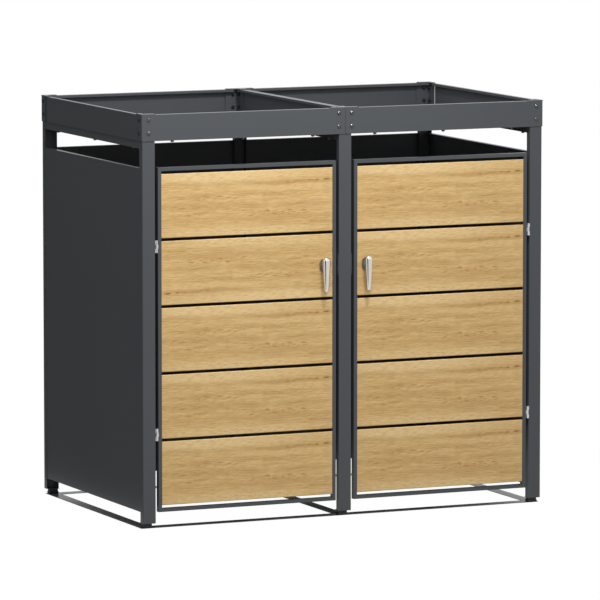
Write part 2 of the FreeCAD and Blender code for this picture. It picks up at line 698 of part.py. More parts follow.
bolt = fastener("dome_bolt", "bolt_radius", "bolt_length", "bolt_head_radius", "bolt_head_height")
bolt_nut = nut("bolt_nut", "nut_across", "nut_height", "bolt_radius + thread_clearance")
bolts = []
nuts = []
for height in ("upper_bolt", "lower_bolt"):
    for sign, way in (("-", back), ("", -back)):
        inside = "%s(bracket_y - bracket_sheet)" % sign
        for x in ("-corner_bolt_x", "-middle_bolt_x", "middle_bolt_x", "corner_bolt_x"):
            bolts.append(copied(bolt, x, sign + "half_depth", height, way))
            nuts.append(copied(bolt_nut, x, inside, height, way))
        for side_sign, side_way in (("-", right), ("", -right)):
            bolts.append(copied(bolt, side_sign + "half_width", sign + "side_bolt_y", height, side_way))
            nuts.append(copied(bolt_nut, "%s(bracket_x - bracket_sheet)" % side_sign,
                               sign + "side_bolt_y", height, side_way))
        bolts.append(copied(bolt, "fascia_sheet + bracket_sheet", sign + "side_bolt_y", height, -right))
        nuts.append(copied(bolt_nut, "-fascia_sheet - bracket_sheet", sign + "side_bolt_y", height, -right))
grouped("tray_bolts", bolts)

short = fastener("floor_screw", "screw_radius", "short_screw", "screw_head_radius", "screw_head_height")
long = fastener("rail_screw", "screw_radius", "long_screw", "screw_head_radius", "screw_head_height")
middling = fastener("middle_rail_screw", "screw_radius", "middle_screw", "screw_head_radius",
                    "screw_head_height")
small_nut = nut("screw_nut", "screw_nut_across", "screw_nut_height", "screw_radius + thread_clearance")
screws = []
for sign in ("-", ""):
    for x in ("screw_near", "screw_middle", "screw_far"):
        for end in ("-", ""):
            screws.append(copied(short, sign + x, end + "screw_y", "floor_top", -up))
            nuts.append(copied(small_nut, sign + x, end + "screw_y", "fascia_bottom", -up))
    for row in rail_screws:
        screws.append(copied(long, sign + "rail_screw_x", row, "floor_top", -up))
        nuts.append(copied(small_nut, sign + "rail_screw_x", row, "rail_bottom", -up))
        screws.append(copied(middling, sign + "middle_screw_offset", row, "floor_top", -up))
        nuts.append(copied(small_nut, sign + "middle_screw_offset", row, "middle_rail_bottom", -up))
grouped("tray_floor_screws", screws)
grouped("tray_nuts", nuts)

# Walls: shallow trays of thin sheet, the side ones behind the posts' outer flanges, the
# rear ones between the posts. Air passes above and below them.
wall = new_body("side_wall_left", "-wall_face_x", 0, "wall_bottom")
pan_section = [(0, 0), ("wall_flange", 0), ("wall_flange", "wall_sheet"), ("wall_sheet", "wall_sheet"),
               ("wall_sheet", "wall_height - wall_sheet"), ("wall_flange", "wall_height - wall_sheet"),
               ("wall_flange", "wall_height"), (0, "wall_height")]
add_slab(wall, "XZ_Plane", pan_section, "-wall_half_length", "2 * wall_half_length")
wall_hole_heights = ["%s - wall_bottom" % height for height in wall_heights]
side_stud_y = "(post_y - post_depth / 2)"
drill(wall, "YZ_Plane", [(sign + side_stud_y, z) for sign in ("-", "") for z in wall_hole_heights],
      "rivet_hole", 0, "wall_sheet")
mirrored(wall, "side_wall_right", right)

rear_wall = new_body("rear_wall_left", "-post_inner_x", "post_y - wall_flange", "wall_bottom")
rear_width = "(post_inner_x - post_width / 2)"
add_plate(rear_wall, "XZ_Plane", 0, rear_width, 0, "wall_height", 0, "wall_flange")
cut_plate(rear_wall, "XZ_Plane", "wall_sheet", rear_width + " - wall_sheet", "wall_sheet",
          "wall_height - wall_sheet", 0, "wall_flange - wall_sheet")
drill(rear_wall, "YZ_Plane", [("wall_flange / 2", z) for z in wall_hole_heights], "rivet_hole", 0, rear_width)
mirrored(rear_wall, "rear_wall_right", right)

# Latch keepers: angles on the middle post that stop the doors and hold the cams.
keeper = pattern("keeper")
keeper_section = [(0, "-(post_y - post_sheet)"), ("keeper_sheet", "-(post_y - post_sheet)"),
                  ("keeper_sheet", "-keeper_front"), ("keeper_reach", "-keeper_front"),
                  ("keeper_reach", "-(keeper_front - keeper_sheet)"), (0, "-(keeper_front - keeper_sheet)")]
add_slab(keeper, "XY_Plane", keeper_section, "-keeper_height / 2", "keeper_height")
drill(keeper, "YZ_Plane", [("-(%s)" % keeper_rivet_y, "%s keeper_rivet_rise" % sign) for sign in "-+"],
      "rivet_hole", 0, "keeper_sheet")
keeper_twin = mirrored(keeper, "keeper_twin", right, keep=False)
grouped("latch_keepers", [copied(keeper_twin, "-post_width / 2", 0, "lock_height"),
                          copied(keeper, "post_width / 2", 0, "lock_height")])

# Hinges: three knuckles round a pin, two on the post's leaf and one on the door's.
knuckle_bore = "pin_radius + pin_clearance"


def hinge_leaf(label, sign, reach, knuckle_lows):
    """A leaf on the side that the sign gives, its knuckles at the given heights."""
    body = pattern(label)
    inner, outer = "hinge_half_gap - leaf_sheet", "hinge_half_gap"
    low, high = (inner, outer) if sign == "" else ("-hinge_half_gap", "-(hinge_half_gap - leaf_sheet)")
    add_plate(body, "XY_Plane", low, high, "leaf_clear", reach, "-hinge_height / 2", "hinge_height")
    for level in knuckle_lows:
        add_plate(body, "XY_Plane", low, high, 0, "leaf_clear", level, "knuckle_height")
        add_rod(body, "XY_Plane", 0, 0, "knuckle_radius", level, "knuckle_height")
    drill(body, "XY_Plane", [(0, 0)], knuckle_bore, "-hinge_height / 2", "hinge_height")
    drill(body, "YZ_Plane", [("hinge_y - leaf_rivet_y", "%s leaf_rivet_rise" % side) for side in "-+"],
          "rivet_hole", low, "leaf_sheet")
    return body


post_leaf = hinge_leaf("post_leaf", "", "post_leaf_reach",
                       ["-hinge_height / 2", "hinge_height / 2 - knuckle_height"])
door_leaf = hinge_leaf("door_leaf", "-", "door_leaf_reach", ["-knuckle_height / 2"])
post_leaf_twin = mirrored(post_leaf, "post_leaf_twin", right, keep=False)
grouped("hinge_post_leaves", [copied(source, x, "-hinge_y", hinge) for hinge in hinges
                              for source, x in ((post_leaf_twin, "-hinge_x"), (post_leaf, "hinge_x"))])
pin = fastener("hinge_pin", "pin_radius", "hinge_height", "knuckle_radius - pin_clearance", "pin_head_height")
grouped("hinge_pins", [copied(pin, x, "-hinge_y", hinge + " + hinge_height / 2", -up)
                       for hinge in hinges for x in ("-hinge_x", "hinge_x")])

# Rivets on the fixed part: rear walls, keepers and hinge leaves, and studs for the side walls.
wall_rivet = fastener("wall_rivet", "rivet_radius", "wall_sheet + post_sheet + rivet_tail",
                      "rivet_head_radius", "rivet_head_height")
leaf_rivet = fastener("leaf_rivet", "rivet_radius", "leaf_sheet + post_sheet + rivet_tail",
                      "rivet_head_radius", "rivet_head_height")
keeper_rivet = fastener("keeper_rivet", "rivet_radius", "keeper_sheet + post_sheet + rivet_tail",
                        "rivet_head_radius", "rivet_head_height")
stud = fastener("wall_stud", "rivet_radius", "wall_sheet", "rivet_head_radius", "rivet_head_height")
rivets = []
for sign, inward in (("-", right), ("", -right)):
    outer_wall_x = sign + "(post_inner_x - wall_sheet)"
    inner_wall_x = sign + "(post_width / 2 + wall_sheet)"
    side_wall_x = sign + "(wall_face_x - wall_sheet)"
    keeper_x = sign + "(post_width / 2 + keeper_sheet)"
    leaf_x = sign + "(post_inner_x - leaf_sheet)"
    for height in wall_heights:
        rivets.append(copied(wall_rivet, outer_wall_x, "wall_rivet_y", height, -inward))
        rivets.append(copied(wall_rivet, inner_wall_x, "wall_rivet_y", height, inward))
        for end in ("-", ""):
            rivets.append(copied(stud, side_wall_x, end + side_stud_y, height, -inward))
    for y, height in keeper_holes:
        rivets.append(copied(keeper_rivet, keeper_x, "-(%s)" % y, height, inward))
    for y, height in hinge_holes:
        rivets.append(copied(leaf_rivet, leaf_x, "-" + y, height, -inward))
grouped("post_rivets", rivets)


# Doors: a folded channel frame round five boards, each a shallow steel tray with a wood
# finish, riveted to the stiles. The left door is drawn and the right one mirrors it.
frame = new_body("left_door_frame", "-door_outer_x", "-post_y", "door_bottom")
add_plate(frame, "XZ_Plane", 0, "door_width", 0, "door_height", 0, "frame_depth")
cut_plate(frame, "XZ_Plane", "frame_face", "door_width - frame_face", "frame_face",
          "door_height - frame_face", 0, "frame_depth")
groove = new_sketch(frame, "XZ_Plane", cut_offset("XZ_Plane", "frame_sheet", "frame_depth"))
draw_outline(groove, box_points("frame_sheet", "door_width - frame_sheet", "frame_sheet",
                                "door_height - frame_sheet"))
draw_outline(groove, box_points("frame_face - frame_sheet", "door_width - frame_face + frame_sheet",
                                "frame_face - frame_sheet", "door_height - frame_face + frame_sheet"))
finish_cut(frame, groove, "frame_depth")
board_count = sizes["board_count"]
board_lows = ["frame_face + board_gap * %d + board_height * %d" % (step + 1, step)
              for step in range(board_count)]
board_rivets = ["board_rivet_inset", "board_height - board_rivet_inset"]
board_rivet_heights = ["%s + %s" % (low, inset) for low in board_lows for inset in board_rivets]
board_rivet_y = "board_recess + board_depth / 2"
lock_board = 2
drill(frame, "YZ_Plane", [(board_rivet_y, z) for z in board_rivet_heights],
      "rivet_hole", "frame_face - frame_sheet", "door_width - 2 * (frame_face - frame_sheet)")
drill(frame, "YZ_Plane", [("post_y - leaf_rivet_y", "%s %s leaf_rivet_rise - door_bottom" % (hinge, side))
                          for hinge in hinges for side in "-+"], "rivet_hole", 0, "frame_sheet")
mirrored(frame, "right_door_frame", right)

for number, board_low in enumerate(reversed(board_lows), start=1):
    name = "board_%d" % number
    board = new_body("left_door_" + name, "-(door_outer_x - frame_face)", "-board_y",
                     "door_bottom + " + board_low)
    add_plate(board, "XZ_Plane", 0, "board_width", 0, "board_height", 0, "board_depth")
    round_edges(board, "board_bend", lambda point: abs(point.y) < close)
    cut_plate(board, "XZ_Plane", "board_sheet", "board_width - board_sheet", "board_sheet",
              "board_height - board_sheet", "board_sheet", "board_depth - board_sheet")
    drill(board, "YZ_Plane", [("board_depth / 2", inset) for inset in board_rivets],
          "rivet_hole", 0, "board_width")
    if number == lock_board:
        lock_place = ("door_outer_x - frame_face - lock_x", "lock_height - door_bottom - (%s)" % board_low)
        drill(board, "XZ_Plane", [lock_place], "barrel_radius + barrel_clearance", 0, "board_sheet")
    mirrored(board, "right_door_" + name, right)

left_leaf = mirrored(door_leaf, "door_leaf_twin", right, keep=False)
left_leaves = grouped("left_door_hinge_leaves",
                      [copied(left_leaf, "-hinge_x", "-hinge_y", hinge) for hinge in hinges])
mirrored(left_leaves, "right_door_hinge_leaves", right)

board_rivet = fastener("board_rivet", "rivet_radius", "board_sheet + frame_sheet + rivet_tail",
                       "rivet_head_radius", "rivet_head_height")
door_leaf_rivet = fastener("door_leaf_rivet", "rivet_radius", "leaf_sheet + frame_sheet + rivet_tail",
                           "rivet_head_radius", "rivet_head_height")
door_rivets = []
stiles = (("-(door_outer_x - frame_face - board_sheet)", -right),
          ("-(door_inner_x + frame_face + board_sheet)", right))
for height in board_rivet_heights:
    for x, way in stiles:
        door_rivets.append(copied(board_rivet, x, "-(post_y - (%s))" % board_rivet_y,
                                  "door_bottom + " + height, way))
for y, height in hinge_holes:
    door_rivets.append(copied(door_leaf_rivet, "-(door_outer_x + leaf_sheet)", "-" + y, height, right))
left_rivets = grouped("left_door_rivets", door_rivets)
mirrored(left_rivets, "right_door_rivets", right)

# Locks: an oval rosette and barrel through the second board, held by a nut behind it.
rosette = pattern("lock_barrel")
rosette_sketch = new_sketch(rosette, "XZ_Plane", "board_y")
half_oval = "(rosette_height - rosette_width) / 2"
draw_slot(rosette_sketch, half_oval, "rosette_width / 2", "-(%s)" % half_oval, "rosette_width / 2")
finish_pad(rosette, rosette_sketch, "rosette_sheet")
add_rod(rosette, "XZ_Plane", 0, 0, "barrel_radius", "-board_y", "board_y - barrel_back")
drill(rosette, "XZ_Plane", [(0, 0)], "spindle_radius + pin_clearance", "-(board_y + rosette_sheet)",
      "rosette_sheet + board_y - barrel_back")
lock_nut = nut("lock_nut", "lock_nut_across", "lock_nut_height", "barrel_radius + thread_clearance")
lock_parts = [copied(rosette, "-lock_x", 0, "lock_height"),
              copied(lock_nut, "-lock_x", "-(board_y - board_sheet)", "lock_height", back)]
mirrored(grouped("left_lock", lock_parts), "right_lock", right)

# Levers: a tapered half-round grip that stands off the board on a neck, with the spindle
# behind it.
lever = new_body("left_lever", "-lock_x", 0, "lock_height")
lever_back = "(post_y + lever_stand)"
grip_sketch = new_sketch(lever, "XZ_Plane", lever_back)
draw_half_slot(grip_sketch, "lever_top_rise", "lever_top_radius", "-lever_reach", "lever_end_radius")
grip = lever.newObject("PartDesign::Revolution", "HalfRoundGrip")
grip.Profile = grip_sketch
grip.ReferenceAxis = (grip_sketch, ["V_Axis"])
grip.Angle = 180
grip.Reversed = True
neck_front = "(board_y + rosette_sheet + pin_clearance)"
add_rod(lever, "XZ_Plane", 0, 0, "neck_radius", "-" + lever_back, lever_back + " - " + neck_front)
add_rod(lever, "XZ_Plane", 0, 0, "spindle_radius", "-" + neck_front, neck_front + " - cam_front")
add_rod(lever, "XZ_Plane", 0, 0, "spindle_end_radius", "-cam_front",
        "cam_sheet + screw_nut_height + rivet_tail")
mirrored(lever, "right_lever", right)

cam = pattern("latch_cam")
cam_outline = box_points("-cam_width / 2", "cam_width / 2", "-cam_width / 2", "cam_length")
add_slab(cam, "XZ_Plane", cam_outline, "-cam_front", "cam_sheet")
drill(cam, "XZ_Plane", [(0, 0)], "spindle_end_radius + thread_clearance", "-cam_front", "cam_sheet")
cam_nut = nut("cam_nut", "nut_across", "screw_nut_height", "spindle_end_radius + thread_clearance")
cam_parts = [copied(cam, "-lock_x", 0, "lock_height"),
             copied(cam_nut, "-lock_x", "-(cam_front - cam_sheet)", "lock_height", back)]
mirrored(grouped("left_cam", cam_parts), "right_cam", right)

doc.recompute()
for thing in doc.Objects:
    if "Invalid" in thing.State or "Error" in thing.State:
        raise RuntimeError("%s is %s" % (thing.Label, thing.State))
for label, piece in pieces.items():
    if piece.Shape.isNull() or not piece.Shape.isValid():
        raise RuntimeError(label + " has no valid shape")

os.makedirs("parts", exist_ok=True)
for label, piece in sorted(pieces.items()):
    piece.Shape.exportStep("parts/%s.step" % label)
    print(label, len(piece.Shape.Solids), round(piece.Shape.Volume, 1))
print(len(pieces), "pieces written")
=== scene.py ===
import bmesh
import bpy
import math
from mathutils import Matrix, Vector


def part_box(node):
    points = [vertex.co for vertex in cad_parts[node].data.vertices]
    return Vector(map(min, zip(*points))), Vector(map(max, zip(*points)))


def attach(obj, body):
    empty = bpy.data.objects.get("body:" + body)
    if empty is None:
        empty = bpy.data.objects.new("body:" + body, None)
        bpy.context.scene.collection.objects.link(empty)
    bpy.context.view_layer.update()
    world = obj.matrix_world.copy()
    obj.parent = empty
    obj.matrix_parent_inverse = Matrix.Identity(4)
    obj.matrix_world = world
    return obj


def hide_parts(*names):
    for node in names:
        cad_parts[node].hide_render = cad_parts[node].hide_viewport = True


# A double wheelie bin store: anthracite powder-coated steel, doors of wood-decor boards,
# bright levers and hinges. Metres, X to the right, Y to the back, Z up.

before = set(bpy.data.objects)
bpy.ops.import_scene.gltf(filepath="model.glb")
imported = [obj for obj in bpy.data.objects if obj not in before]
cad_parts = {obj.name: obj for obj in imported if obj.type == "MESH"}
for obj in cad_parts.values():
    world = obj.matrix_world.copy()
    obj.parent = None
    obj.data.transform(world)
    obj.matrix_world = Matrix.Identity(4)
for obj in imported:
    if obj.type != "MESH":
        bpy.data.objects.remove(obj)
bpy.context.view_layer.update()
print("frame loaded:", len(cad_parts), "nodes")

perMetre = 1000.0    # millimetres
white = (1.0, 1.0, 1.0, 1.0)


def linearColour(hexText):
    # sRGB hex to the opaque linear colour that the shaders take
    channels = []
    for start in (1, 3, 5):
        value = int(hexText[start:start + 2], 16) / 255
        channels.append(value / 12.92 if value <= 0.04045 else ((value + 0.055) / 1.055) ** 2.4)
    return (*channels, 1.0)


def addNode(tree, kind, settings=None, links=None):
    # settings are properties or input values, links are the sockets that feed its inputs
    node = tree.nodes.new(kind)
    for name, value in (settings or {}).items():
        if isinstance(name, int) or name in node.inputs:
            node.inputs[name].default_value = value
        else:
            setattr(node, name, value)
    for name, source in (links or {}).items():
        tree.links.new(source, node.inputs[name])
    return node


def emptyTree(owner):
    # the node tree of a material or a world, with nothing in it
    owner.use_nodes = True
    owner.node_tree.nodes.clear()
    return owner.node_tree


def newMaterial(name):
    material = bpy.data.materials.new(name)
    tree = emptyTree(material)
    shader = addNode(tree, "ShaderNodeBsdfPrincipled")
    addNode(tree, "ShaderNodeOutputMaterial", {}, {"Surface": shader.outputs["BSDF"]})
    return material, tree, shader


camera = {
    "lens": 339.6,                      # mm, a long lens from far off
    "sensor": 36.0,                     # mm
    "target": (0.0326, 0.0, 0.6392),    # m
    "distance": 18.1707,                # m
    "yaw": 24.158,                      # degrees to the left of square on
    "pitch": 6.599,                     # degrees above level
    "farthest": 100.0,                  # m
}


def addCamera():
    yaw = math.radians(camera["yaw"])
    pitch = math.radians(camera["pitch"])
    level = math.cos(pitch)
    towards = Vector((-math.sin(yaw) * level, -math.cos(yaw) * level, math.sin(pitch)))
    data = bpy.data.cameras.new("photoCamera")
    data.lens = camera["lens"]
    data.sensor_width = camera["sensor"]
    data.sensor_fit = "HORIZONTAL"
    data.clip_end = camera["farthest"]
    holder = bpy.data.objects.new("photoCamera", data)
    bpy.context.collection.objects.link(holder)
    holder.location = Vector(camera["target"]) + towards * camera["distance"]
    holder.rotation_euler = (-towards).to_track_quat("-Z", "Y").to_euler()
    bpy.context.scene.camera = holder
    print("camera set")


powderCoat = {
    "colour": "#56595C",
    "thin": "#525558",     # where the coat is a little thinner
    "roughness": 0.3,
    "specular": 0.15,
    "grain": 1.4,          # mm, the orange peel of a sprayed powder
    "grainDepth": 0.015,   # mm
    "patch": 420.0,        # mm, slow drift in the coat's thickness
    "edge": 0.3,           # mm, radius of a folded sheet's sharp edges
}


def makePowderCoat():
    # Powder-coated sheet steel: sprayed dry and baked, so an even satin film with a
    # faint orange peel, a little rounder on the edges, with no brush or grain of its own.
    material, tree, shader = newMaterial("powderCoatedSteel")
    place = addNode(tree, "ShaderNodeTexCoord")
    drift = addNode(tree, "ShaderNodeTexNoise",
                    {"Scale": perMetre / powderCoat["patch"], "Detail": 2.0},
                    {"Vector": place.outputs["Object"]})
    tint = addNode(tree, "ShaderNodeMix",
                   {"data_type": "RGBA", 6: linearColour(powderCoat["thin"]),
                    7: linearColour(powderCoat["colour"])},
                   {0: drift.outputs["Fac"]})
    peel = addNode(tree, "ShaderNodeTexNoise",
                   {"Scale": perMetre / powderCoat["grain"], "Detail": 1.0},
                   {"Vector": place.outputs["Object"]})
    rounded = addNode(tree, "ShaderNodeBevel",
                      {"samples": 4, "Radius": powderCoat["edge"] / perMetre})
    bump = addNode(tree, "ShaderNodeBump",
                   {"Distance": powderCoat["grainDepth"] / perMetre, "Strength": 0.5},
                   {"Height": peel.outputs["Fac"], "Normal": rounded.outputs["Normal"]})
    tree.links.new(tint.outputs[2], shader.inputs["Base Color"])
    tree.links.new(bump.outputs["Normal"], shader.inputs["Normal"])
    shader.inputs["Roughness"].default_value = powderCoat["roughness"]
    shader.inputs["Specular IOR Level"].default_value = powderCoat["specular"]
    return material


boardDecor = {
    "light": "#E9C88C",
    "middle": "#DBB77A",
    "dark": "#C29C63",
    "sapwood": "#F2D39A",       # painted highlight: paler along both long edges of every board
    "pore": "#A86C34",
    "knot": "#946034",
    "roughness": 0.5,
    "specular": 0.3,
    "patterns": {               # length and height in mm, place in the noise, detail
        "wander": (210.0, 70.0, 7.7, 1.0),    # how the grain drifts up and down
        "ripple": (30.0, 30.0, 3.3, 0.0),     # its small waves
        "band": (700.0, 30.0, 4.2, 3.0),      # broad growth bands
        "streak": (80.0, 2.2, 2.4, 3.0),      # the finest streaks that show in the picture
        "dash": (26.0, 1.8, 6.1, 2.0),        # short marks where the grain turns over
    },
    "patternRough": 0.6,        # how strong the patterns' finer detail is
    "wanderHeight": 2.2,        # mm
    "rippleHeight": 1.2,        # mm
    "streakShare": 0.64,        # of the streaks, against the bands
    "tones": [                  # level of bands and streaks, shade
        (0.38, "dark"), (0.49, "middle"), (0.6, "light"),
    ],
    "fade": (0.3, 1.1),         # where an oval starts and ends to fade, 1 is its size
    "patches": [                # shade, middle, half length and half height in mm, amount
        # the first three are painted highlight along the top and bottom edges
        ("sapwood", -110.0, 88.0, 330.0, 30.0, 0.85),
        ("sapwood", 190.0, 88.0, 220.0, 22.0, 0.35),
        ("sapwood", -40.0, -88.0, 360.0, 24.0, 0.65),
        ("dark", 150.0, 59.0, 190.0, 8.0, 0.7),
        ("dark", -200.0, 22.0, 130.0, 9.0, 0.4),
        ("light", 90.0, 42.0, 200.0, 10.0, 0.6),
        ("dark", -120.0, -6.0, 240.0, 16.0, 0.35),
        ("dark", 180.0, -12.0, 130.0, 18.0, 0.3),
        ("dark", 60.0, -48.0, 260.0, 16.0, 0.3),
    ],
    "lean": 0.1,                # slope of the short marks
    "markLevels": (0.45, 0.66),    # of the noise, where a mark starts and is full
    "markStrength": 0.92,
    "scattered": 0.36,          # strength of the marks away from the rows
    "rows": [                   # middle, half length and half height in mm, strength
        (-85.0, 20.0, 160.0, 12.0, 0.9),
        (120.0, 26.0, 110.0, 9.0, 0.8),
        (-200.0, -7.0, 110.0, 9.0, 0.7),
        (105.0, -34.0, 180.0, 14.0, 1.0),
        (190.0, 60.0, 110.0, 8.0, 0.9),
        (0.0, -88.0, 240.0, 9.0, 0.6),
        (-185.0, -30.0, 90.0, 7.0, 0.7),
        (-190.0, 90.0, 110.0, 8.0, 0.45),
    ],
    "knots": [                  # middle, half length and half height in mm, amount
        (270.0, 64.0, 14.0, 3.2, 0.9),
        (238.0, 63.0, 9.0, 2.4, 0.9),
    ],
    "poreDepth": 0.04,          # mm
}


def makeBoardDecor(name, centre, turned):
    # Printed pine decor on folded steel: a light, yellowish flat-sawn softwood, its grain
    # drawn along the board and cross-marked in the middle, painted highlight along the edges,
    # under a clear matt film. Every board has the same print, and one of them is turned round.
    material, tree, shader = newMaterial("pineDecor" + name)
    place = addNode(tree, "ShaderNodeTexCoord")
    local = addNode(tree, "ShaderNodeVectorMath", {"operation": "SUBTRACT", 1: centre},
                    {0: place.outputs["Object"]})
    scale = -perMetre if turned else perMetre
    board = addNode(tree, "ShaderNodeVectorMath", {"operation": "MULTIPLY", 1: (scale, 0.0, scale)},
                    {0: local.outputs["Vector"]}).outputs["Vector"]

    def drawnOut(vector, pattern):
        # noise as long and as high as the pattern says
        length, height, offset, detail = boardDecor["patterns"][pattern]
        stretch = addNode(tree, "ShaderNodeMapping",
                          {"Scale": (1 / length, 1.0, 1 / height),
                           "Location": (offset, 0.0, offset / 2)}, {"Vector": vector})
        noise = addNode(tree, "ShaderNodeTexNoise",
                        {"Scale": 1.0, "Detail": detail, "Roughness": boardDecor["patternRough"]},
                        {"Vector": stretch.outputs["Vector"]})
        return noise.outputs["Fac"]

    def lift(pattern, height):
        # rise and fall of the grain: noise keeps to the middle half of the range
        span = addNode(tree, "ShaderNodeMapRange", {"To Min": -2 * height, "To Max": 2 * height},
                       {"Value": drawnOut(board, pattern)})
        return span.outputs["Result"]

    def patchMask(vector, x, z, halfLength, halfHeight, amount):
        # a soft oval on the board, full in the middle
        apart = addNode(tree, "ShaderNodeVectorMath", {"operation": "SUBTRACT", 1: (x, 0.0, z)},
                        {0: vector})
        squeezed = addNode(tree, "ShaderNodeVectorMath",
                           {"operation": "MULTIPLY", 1: (1 / halfLength, 0.0, 1 / halfHeight)},
                           {0: apart.outputs["Vector"]})
        distance = addNode(tree, "ShaderNodeVectorMath", {"operation": "LENGTH"},
                           {0: squeezed.outputs["Vector"]})
        start, end = boardDecor["fade"]
        mask = addNode(tree, "ShaderNodeMapRange",
                       {"interpolation_type": "SMOOTHSTEP", "From Min": start, "From Max": end,
                        "To Min": amount, "To Max": 0.0}, {"Value": distance.outputs["Value"]})
        return mask.outputs["Result"]

    def laidOver(colour, shade, amount):
        mix = addNode(tree, "ShaderNodeMix",
                      {"data_type": "RGBA", 7: linearColour(boardDecor[shade])},
                      {0: amount, 6: colour})
        return mix.outputs[2]

    # bands and streaks along the grain, dark and light patches over them, and painted highlight
    # along the long edges
    bend = addNode(tree, "ShaderNodeMath", {"operation": "ADD"},
                   {0: lift("wander", boardDecor["wanderHeight"]),
                    1: lift("ripple", boardDecor["rippleHeight"])})
    shift = addNode(tree, "ShaderNodeCombineXYZ", {}, {"Z": bend.outputs[0]})
    grain = addNode(tree, "ShaderNodeVectorMath", {"operation": "ADD"},
                    {0: board, 1: shift.outputs["Vector"]}).outputs["Vector"]
    streaks = drawnOut(grain, "streak")
    mixed = addNode(tree, "ShaderNodeMix", {"data_type": "FLOAT", 0: boardDecor["streakShare"]},
                    {2: drawnOut(grain, "band"), 3: streaks})
    tone = addNode(tree, "ShaderNodeValToRGB", {}, {"Fac": mixed.outputs[0]})
    tone.color_ramp.elements.new(0.5)
    for element, (position, shade) in zip(tone.color_ramp.elements, boardDecor["tones"]):
        element.position = position
        element.color = linearColour(boardDecor[shade])
    colour = tone.outputs["Color"]
    for shade, *oval in boardDecor["patches"]:
        colour = laidOver(colour, shade, patchMask(grain, *oval))

    # rows of short leaning marks
    parts = addNode(tree, "ShaderNodeSeparateXYZ", {}, {0: board})
    along = addNode(tree, "ShaderNodeMath", {"operation": "MULTIPLY", 1: boardDecor["lean"]},
                    {0: parts.outputs["X"]})
    tilt = addNode(tree, "ShaderNodeCombineXYZ", {}, {"Z": along.outputs[0]})
    leaning = addNode(tree, "ShaderNodeVectorMath", {"operation": "SUBTRACT"},
                      {0: grain, 1: tilt.outputs["Vector"]})
    start, full = boardDecor["markLevels"]
    marks = addNode(tree, "ShaderNodeMapRange",
                    {"interpolation_type": "SMOOTHSTEP", "From Min": start, "From Max": full},
                    {"Value": drawnOut(leaning.outputs["Vector"], "dash")})
    scattered = addNode(tree, "ShaderNodeValue")
    scattered.outputs[0].default_value = boardDecor["scattered"]
    strength = scattered.outputs[0]
    for oval in boardDecor["rows"]:
        strength = addNode(tree, "ShaderNodeMath", {"operation": "MAXIMUM"},
                           {0: strength, 1: patchMask(grain, *oval)}).outputs[0]
    pores = addNode(tree, "ShaderNodeMath", {"operation": "MULTIPLY"},
                    {0: strength, 1: marks.outputs["Result"]})
    amount = addNode(tree, "ShaderNodeMath",
                     {"operation": "MULTIPLY", 1: boardDecor["markStrength"]},
                     {0: pores.outputs[0]})
    colour = laidOver(colour, "pore", amount.outputs[0])

    # small reddish knots
    for oval in boardDecor["knots"]:
        colour = laidOver(colour, "knot", patchMask(board, *oval))
    tree.links.new(colour, shader.inputs["Base Color"])
    bump = addNode(tree, "ShaderNodeBump",
                   {"Distance": boardDecor["poreDepth"] / perMetre, "Strength": 0.4},
                   {"Height": streaks})
    tree.links.new(bump.outputs["Normal"], shader.inputs["Normal"])
    shader.inputs["Roughness"].default_value = boardDecor["roughness"]
    shader.inputs["Specular IOR Level"].default_value = boardDecor["specular"]
    return material


brightMetal = {
    "colour": "#E6E3DA",
    "roughness": (0.06, 0.1),    # least and most
    "line": (0.6, 24.0),         # mm across and along, faint lines of the polishing belt
}


def makeBrightMetal():
    # Die-cast zinc, polished and chromed: nearly a mirror, with faint polishing lines.
    material, tree, shader = newMaterial("chromedZinc")
    place = addNode(tree, "ShaderNodeTexCoord")
    across, along = brightMetal["line"]
    stretch = addNode(tree, "ShaderNodeMapping",
                      {"Scale": (perMetre / across, perMetre / across, perMetre / along)},
                      {"Vector": place.outputs["Object"]})
    lines = addNode(tree, "ShaderNodeTexNoise", {"Scale": 1.0, "Detail": 2.0},
                    {"Vector": stretch.outputs["Vector"]})
    low, high = brightMetal["roughness"]
    rough = addNode(tree, "ShaderNodeMapRange", {"To Min": low, "To Max": high},
                    {"Value": lines.outputs["Fac"]})
    tree.links.new(rough.outputs["Result"], shader.inputs["Roughness"])
    shader.inputs["Base Color"].default_value = linearColour(brightMetal["colour"])
    shader.inputs["Metallic"].default_value = 1.0
    return material


platedMetals = {
    # rosettes and cams, die-cast and satin-plated: the lever's metal, but duller
    "satinZinc": {
        "colour": "#A6A8A2", "metallic": 1.0, "specular": 0.5,
        "roughness": (0.29, 0.39), "mottle": 1.2, "detail": 2.0,    # mottle in mm
    },
    # hinges: a dull silver with the slight mottle of a zinc bath
    "zincPlatedSteel": {
        "colour": "#DCDDDE", "metallic": 1.0, "specular": 0.5,
        "roughness": (0.27, 0.43), "mottle": 3.0, "detail": 2.0,
    },
    # bolts and nuts under a glossy dark lacquer: smooth domes that catch the lamp
    "lacqueredBolts": {
        "colour": "#2C2E30", "metallic": 0.0, "specular": 1.0,
        "roughness": (0.2, 0.28), "mottle": 0.9, "detail": 1.0,
    },
}


def makePlatedMetal(name):
    # one even colour, its gloss a little uneven as plating and lacquer are
    look = platedMetals[name]
    material, tree, shader = newMaterial(name)
    place = addNode(tree, "ShaderNodeTexCoord")
    mottle = addNode(tree, "ShaderNodeTexNoise",
                     {"Scale": perMetre / look["mottle"], "Detail": look["detail"]},
                     {"Vector": place.outputs["Object"]})
    low, high = look["roughness"]
    rough = addNode(tree, "ShaderNodeMapRange", {"To Min": low, "To Max": high},
                    {"Value": mottle.outputs["Fac"]})
    tree.links.new(rough.outputs["Result"], shader.inputs["Roughness"])
    shader.inputs["Base Color"].default_value = linearColour(look["colour"])
    shader.inputs["Metallic"].default_value = look["metallic"]
    shader.inputs["Specular IOR Level"].default_value = look["specular"]
    return material


blackPlastic = {
    "colour": "#1A1A1B",
    "roughness": 0.6,
    "grain": 0.8,          # mm
    "grainDepth": 0.03,    # mm
}


